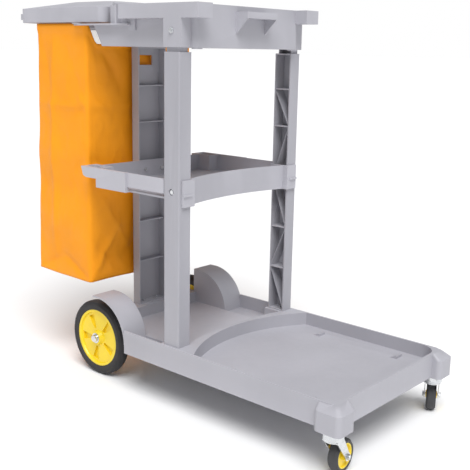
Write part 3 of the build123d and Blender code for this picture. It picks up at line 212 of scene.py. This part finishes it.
def zinc(name):
    """Bright zinc plating over pressed steel."""
    s = Shader(name)
    s.set(Metallic=1.0)
    s.colour(s.ramp(s.noise(60.0, 4.0), ((0.3, (0.62, 0.64, 0.66)), (0.7, (0.80, 0.81, 0.82)))))
    s.roughness(s.ramp(s.noise(220.0, 3.0), ((0.3, 0.20), (0.7, 0.36))))
    s.bump(s.noise(600.0, 2.0), 0.0001, 0.35)
    return s.material


GREY = (0.440, 0.435, 0.475)
GREYS = {
    "base": grey_plastic("grey_base", shade(GREY, 0.96), 0.0),
    "posts": grey_plastic("grey_posts", shade(GREY, 0.88), 1.0),
    "shelf": grey_plastic("grey_shelf", shade(GREY, 1.02), 2.0),
    "tray": grey_plastic("grey_tray", GREY, 3.0),
    "lid": grey_plastic("grey_lid", shade(GREY, 1.03), 4.0),
}
ORANGE = bag_fabric("bag_orange", (1.0, 0.35, 0.008), (0.95, 0.27, 0.004))
# painted light: the lining glows, so the inside of the bag shows white in the shade under the lid
LINING = bag_fabric("bag_lining", (0.88, 0.88, 0.87), (0.70, 0.70, 0.69), painted_glow=0.3)
YELLOW = glossy_plastic("wheel_yellow", (0.95, 0.70, 0.02))
TYRE = rubber("tyre_rubber", (0.020, 0.019, 0.021), 0.30)
CASTER_TYRE = rubber("caster_rubber", (0.045, 0.045, 0.047), 0.35)
ZINC = zinc("zinc_plating")


def finish_of(node):
    """The material of a CAD node, by what it is made of."""
    if node == "base":
        return GREYS["base"]
    if "post" in node:
        return GREYS["posts"]
    if node == "mid_shelf":
        return GREYS["shelf"]
    if node in ("top_tray", "bag_frame"):
        return GREYS["tray"]
    if node == "lid":
        return GREYS["lid"]
    if node == "bag":
        return ORANGE
    if "centre" in node:
        return YELLOW
    if node.startswith("wheel_tyre"):
        return TYRE
    if node.startswith("caster_tyre"):
        return CASTER_TYRE
    return ZINC


def paint(piece, material):
    piece.data.materials.clear()
    piece.data.materials.append(material)


# ---- CAD nodes: material, and small rounded edges as a mould leaves them -------------------
EDGE_WIDTH = {"base": 0.0016, "mid_shelf": 0.0012, "top_tray": 0.0014, "lid": 0.0016,
              "front_post_left": 0.001, "front_post_right": 0.001, "rear_post": 0.001}


def soften(piece, width):
    """Joins the triangles of flat faces, then rounds the edges between them."""
    weld = piece.modifiers.new("weld", "WELD")
    weld.merge_threshold = 0.00002
    flat = piece.modifiers.new("flat", "DECIMATE")
    flat.decimate_type = "DISSOLVE"
    flat.angle_limit = radians(0.6)
    edge = piece.modifiers.new("edge", "BEVEL")
    edge.width = width
    edge.segments = 3
    edge.limit_method = "ANGLE"
    edge.angle_limit = radians(42)
    edge.harden_normals = False
    edge.use_clamp_overlap = True
    normals = piece.modifiers.new("normals", "WEIGHTED_NORMAL")
    normals.keep_sharp = False


for name, node in NODES.items():
    paint(node, finish_of(name))
    if name in EDGE_WIDTH:
        soften(node, EDGE_WIDTH[name])

# ---- Bag: one lined sheet, hung from the frame, with its folds and creases -----------------
BAG_LOW, BAG_HIGH = (Vector(corner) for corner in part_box("bag"))
BAG_REAR, BAG_FRONT = BAG_LOW.x, BAG_HIGH.x
BAG_HALF = BAG_HIGH.y
BAG_BOTTOM = BAG_LOW.z + 0.0005
BAG_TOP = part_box("bag_frame")[1][2] - 0.001    # the cuff is turned up round the frame
BAG_DEPTH = BAG_TOP - BAG_BOTTOM
BAG_FLARE = 0.024            # how far the rear face leans out at the bottom
BAG_STEP = 0.0065            # spacing of the mesh
SHEET = 0.0014               # fabric and lining together
CORNER_R = 0.009             # radius of the upright corners
CUFF_LOW, CUFF_RISE = 0.908, 0.012             # where the cuff starts, and how soon it is out
CUFF_OUT = 0.0030
MOUTH_DROP = 0.050           # how far the front wall's edge hangs down
MOUTH_CORNER = 0.09          # share of the front wall over which it starts to hang
MOUTH_FROM = 0.82            # share of the depth above which the wall takes part
BULGE = 0.004                # fullness in the middle of each face
WAVE, RIPPLE = 0.0035, 0.0016                  # soft waves, and the sharper ripples on them
SWAY, WANDER = 0.004, 0.003
CREASE_DEPTH = 1.8           # all creases are deepened by this
# creases as (face, (along, height), (along, height), depth, width): along runs 0 to 1 over the
# face, height 0 to 1 from bottom to top; a positive depth is a ridge, in metres
CREASES = (
    # upright folds, left from packing
    ("right", (0.36, 0.05), (0.35, 0.99), 0.0050, 0.012),
    ("front", (0.46, 0.05), (0.47, 0.95), -0.0030, 0.016),
    ("left", (0.62, 0.05), (0.64, 0.99), 0.0050, 0.012),
    ("rear", (0.50, 0.04), (0.50, 0.97), -0.0040, 0.014),
    # the level fold, all round
    ("right", (0.02, 0.692), (0.98, 0.690), 0.0028, 0.008),
    ("front", (0.02, 0.692), (0.98, 0.690), 0.0028, 0.008),
    ("left", (0.02, 0.690), (0.98, 0.692), 0.0028, 0.008),
    ("rear", (0.02, 0.690), (0.98, 0.692), 0.0028, 0.008),
    # gussets at the foot of each side
    ("right", (0.50, 0.085), (0.04, 0.010), -0.0050, 0.012),
    ("right", (0.52, 0.085), (0.97, 0.006), -0.0050, 0.012),
    ("left", (0.50, 0.085), (0.04, 0.010), -0.0050, 0.012),
    ("left", (0.50, 0.085), (0.97, 0.006), -0.0050, 0.012),
    # soft creases of use
    ("right", (0.99, 0.705), (0.80, 0.660), -0.0040, 0.010),
    ("right", (0.99, 0.680), (0.84, 0.735), 0.0035, 0.009),
    ("right", (0.70, 0.43), (0.97, 0.50), -0.0025, 0.015),
    ("right", (0.10, 0.95), (0.33, 0.72), -0.0024, 0.018),
    ("right", (0.60, 0.93), (0.93, 0.72), -0.0022, 0.020),
    ("right", (0.06, 0.30), (0.30, 0.42), -0.0022, 0.018),
    ("right", (0.45, 0.20), (0.80, 0.32), 0.0025, 0.018),
    ("front", (0.03, 0.03), (0.28, 0.25), 0.0050, 0.013),
    ("front", (0.05, 0.16), (0.26, 0.03), -0.0048, 0.012),
    ("front", (0.10, 0.34), (0.34, 0.12), 0.0040, 0.014),
    ("front", (0.30, 0.08), (0.62, 0.24), -0.0040, 0.016),
    ("front", (0.02, 0.50), (0.22, 0.44), -0.0030, 0.014),
    ("front", (0.04, 0.73), (0.20, 0.64), 0.0035, 0.012),
    ("front", (0.12, 0.97), (0.30, 0.75), -0.0040, 0.018),
    ("front", (0.60, 0.40), (0.90, 0.20), 0.0035, 0.018),
    ("left", (0.20, 0.55), (0.55, 0.35), 0.0028, 0.018),
    ("rear", (0.10, 0.15), (0.38, 0.34), 0.0035, 0.018),
    ("rear", (0.92, 0.20), (0.60, 0.45), 0.0030, 0.018),
)


def clamped(value):
    return max(0.0, min(1.0, value))


def eased(share):
    """0 to 1, with a level start and end."""
    return share * share * (3 - 2 * share)


def crease(at, start, end, depth, width):
    """The height of one crease, at a place on its face in metres."""
    along = end - start
    share = clamped((at - start).dot(along) / along.length_squared)
    away = (at - start - along * share).length
    fade = sin(pi * (0.1 + 0.8 * share))
    return CREASE_DEPTH * depth * fade * exp(-away / width)


def face_ends(face, height):
    """Where a face of the bag starts and ends, seen from above."""
    rear = BAG_REAR - BAG_FLARE * (1 - height) ** 1.3
    corners = {"right": (rear, -BAG_HALF), "front": (BAG_FRONT, -BAG_HALF),
               "left": (BAG_FRONT, BAG_HALF), "rear": (rear, BAG_HALF)}
    names = list(corners)
    following = names[(names.index(face) + 1) % len(names)]
    return Vector(corners[face]), Vector(corners[following])


def fullness(face, along, height, size, place, z):
    """How far the fabric stands out from its flat face: bulge, creases and soft waves."""
    at = Vector((along * size.x, height * size.y))
    push = BULGE * sin(pi * along) * sin(pi * height)
    for name, a, b, depth, width in CREASES:
        if name == face:
            start, end = (Vector((p[0] * size.x, p[1] * size.y)) for p in (a, b))
            push += crease(at, start, end, depth, width)
    soft = Vector((place.x * 9, place.y * 9, z * 5))
    ridge = 1 - 2 * abs(noise.noise(soft * 2.7 + Vector((3, 1, 7))))
    return push + WAVE * noise.noise(soft) + RIPPLE * ridge ** 3


def bag_surface(face, along, height):
    """A point of the bag, along 0 to 1 on a face and height 0 to 1, with its folds."""
    start, end = face_ends(face, height)
    run = end - start
    ahead = run.normalized()
    out = Vector((run.y, -run.x)).normalized()
    z = BAG_BOTTOM + BAG_DEPTH * height
    size = Vector((run.length, BAG_DEPTH))
    # held straight at the frame and at the floor's seam
    held = clamped((0.975 - height) / 0.06) * min(1.0, height / 0.02)
    place = start + run * along
    push = fullness(face, along, height, size, place, z)
    # each corner is a quarter round, where the two faces' folds fade out
    corner = min(along, 1 - along) * size.x
    push *= min(1.0, corner / (2 * CORNER_R))
    if corner < CORNER_R:
        turn = (1 - corner / CORNER_R) * pi / 4
        shift = CORNER_R * (1 - sin(turn)) - corner
        place += ahead * (shift if along < 0.5 else -shift)
        place -= out * CORNER_R * (1 - cos(turn))
    # the whole bag wanders a little on its way down, and each face sways
    sway = SWAY * held * noise.noise(Vector((z * 9, run.x, run.y)))
    wander = Vector((noise.noise(Vector((z * 11, 2, 5))), noise.noise(Vector((z * 11, 8, 1)))))
    place += out * push * held + wander * WANDER * held
    place += out * sway * min(1.0, corner / (4 * CORNER_R))
    # the cuff goes round the outside of the frame
    place += out * CUFF_OUT * eased(clamped((z - CUFF_LOW) / CUFF_RISE))
    # the front wall's edge hangs down between its corners
    if face == "front":
        sag = min(1.0, along / MOUTH_CORNER, (1 - along) / MOUTH_CORNER)
        z -= MOUTH_DROP * eased(sag) * max(0.0, (height - MOUTH_FROM) / (1 - MOUTH_FROM)) ** 1.5
    # the floor's seam is a little uneven
    z += 0.003 * noise.noise(Vector((place.x * 12, place.y * 12, 1.5))) * (1 - height)
    return Vector((place.x, place.y, z))


def bag_walls(work, wide, long):
    """The four walls from the bottom ring up; returns the bottom ring."""
    rows = round(BAG_DEPTH / BAG_STEP)
    columns = {"right": wide, "front": long, "left": wide, "rear": long}
    rings = []
    for row in range(rows + 1):
        rings.append([work.verts.new(bag_surface(face, column / count, row / rows))
                      for face, count in columns.items() for column in range(count)])
    for low, high in zip(rings, rings[1:]):
        for i in range(len(low)):
            j = (i + 1) % len(low)
            work.faces.new((low[i], low[j], high[j], high[i]))
    return rings[0]


def bag_floor(work, seam, wide, long):
    """The floor, as a grid whose edge is the walls' bottom ring."""
    ring = seam + seam[:1]
    right, front = ring[:wide + 1], ring[wide:wide + long + 1]
    left = ring[wide + long:2 * wide + long + 1][::-1]
    rear = ring[2 * wide + long:][::-1]
    grid = {}
    for i in range(wide + 1):
        for j in range(long + 1):
            if j == 0:
                vert = right[i]
            elif j == long:
                vert = left[i]
            elif i == wide:
                vert = front[j]
            elif i == 0:
                vert = rear[j]
            else:
                flat = right[i].co.lerp(left[i].co, j / long)
                sag = 0.004 * sin(pi * i / wide) * sin(pi * j / long)
                vert = work.verts.new((flat.x, flat.y, flat.z - sag + 0.0015 * noise.noise(flat * 30)))
            grid[i, j] = vert
    for i in range(wide):
        for j in range(long):
            work.faces.new((grid[i, j], grid[i, j + 1], grid[i + 1, j + 1], grid[i + 1, j]))


def bag():
    """Four walls and a floor as one sheet, with its lining just inside."""
    wide = round((BAG_FRONT - BAG_REAR) / BAG_STEP)
    long = round(2 * BAG_HALF / BAG_STEP)
    work = bmesh.new()
    bag_floor(work, bag_walls(work, wide, long), wide, long)
    bmesh.ops.recalc_face_normals(work, faces=work.faces)
    area = sum(face.calc_area() for face in work.faces)
    mesh = bpy.data.meshes.new("bag_cloth")
    work.to_mesh(mesh)
    work.free()
    cloth = bpy.data.objects.new("bag_cloth", mesh)
    scene.collection.objects.link(cloth)
    for face in mesh.polygons:
        face.use_smooth = True
    mesh.materials.append(ORANGE)
    mesh.materials.append(LINING)
    lining = cloth.modifiers.new("lining", "SOLIDIFY")
    lining.thickness = SHEET
    lining.offset = -1
    lining.material_offset = 1
    lining.material_offset_rim = 0
    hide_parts("bag")
    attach(cloth, "root")


bag()


# ---- Floor, light and camera ---------------------------------------------------------------
FLOOR_HALF = 150.0
FILL, SUN = 0.46, 2.7                          # strengths
SUN_FROM = Vector((0.40, -0.36, 0.84))
SUN_WIDTH = radians(35)                        # wide, for soft shadows
CAMERA = Vector((1.4141, -1.5368, 0.8733))
YAW, PITCH, ROLL = radians(41.21), radians(12.71), radians(1.10)
LENS, SENSOR = 62.63, 36.0                     # millimetres


def stage_floor():
    """A very large pale floor, so that no horizon shows."""
    s = Shader("stage_floor")
    s.set(Specular_IOR_Level=0.1)
    s.colour(s.ramp(s.noise(2.0, 2.0), ((0.3, 0.95), (0.7, 0.97))))
    s.roughness(s.ramp(s.noise(8.0), ((0.3, 0.8), (0.7, 0.9))))
    mesh = bpy.data.meshes.new("floor")
    half = FLOOR_HALF
    mesh.from_pydata([(-half, -half, 0), (half, -half, 0), (half, half, 0), (-half, half, 0)], [],
                     [(0, 1, 2, 3)])
    floor = bpy.data.objects.new("floor", mesh)
    scene.collection.objects.link(floor)
    floor.data.materials.append(s.material)


def studio():
    """Soft light from high on the front right, a weaker fill all round, and a white backdrop."""
    world = bpy.data.worlds.new("studio")
    scene.world = world
    world.use_nodes = True
    tree = world.node_tree
    fill = tree.nodes["Background"]
    fill.inputs["Color"].default_value = (0.97, 0.98, 1.0, 1)
    fill.inputs["Strength"].default_value = FILL
    seen = tree.nodes.new("ShaderNodeBackground")
    seen.inputs["Color"].default_value = (1, 1, 1, 1)
    seen.inputs["Strength"].default_value = 1.0
    rays = tree.nodes.new("ShaderNodeLightPath")
    both = tree.nodes.new("ShaderNodeMixShader")
    tree.links.new(rays.outputs["Is Camera Ray"], both.inputs[0])
    tree.links.new(fill.outputs[0], both.inputs[1])
    tree.links.new(seen.outputs[0], both.inputs[2])
    tree.links.new(both.outputs[0], tree.nodes["World Output"].inputs["Surface"])
    data = bpy.data.lights.new("key", "SUN")
    data.energy = SUN
    data.angle = SUN_WIDTH
    lamp = bpy.data.objects.new("key", data)
    scene.collection.objects.link(lamp)
    lamp.rotation_euler = SUN_FROM.to_track_quat("Z", "Y").to_euler()


def camera():
    """The viewpoint: from the front right, a little above, with a slight roll."""
    ahead = Vector((-sin(YAW) * cos(PITCH), cos(YAW) * cos(PITCH), -sin(PITCH)))
    right = Vector((cos(YAW), sin(YAW), 0))
    up = right.cross(ahead)
    rolled = right * cos(ROLL) + up * sin(ROLL)
    upright = up * cos(ROLL) - right * sin(ROLL)
    data = bpy.data.cameras.new("camera")
    data.sensor_width = SENSOR
    data.lens = LENS
    cam = bpy.data.objects.new("camera", data)
    scene.collection.objects.link(cam)
    turn = Matrix((rolled, upright, -ahead)).transposed().to_4x4()
    cam.matrix_world = Matrix.Translation(CAMERA) @ turn
    scene.camera = cam


scene.view_settings.view_transform = "Standard"
stage_floor()
studio()
camera()
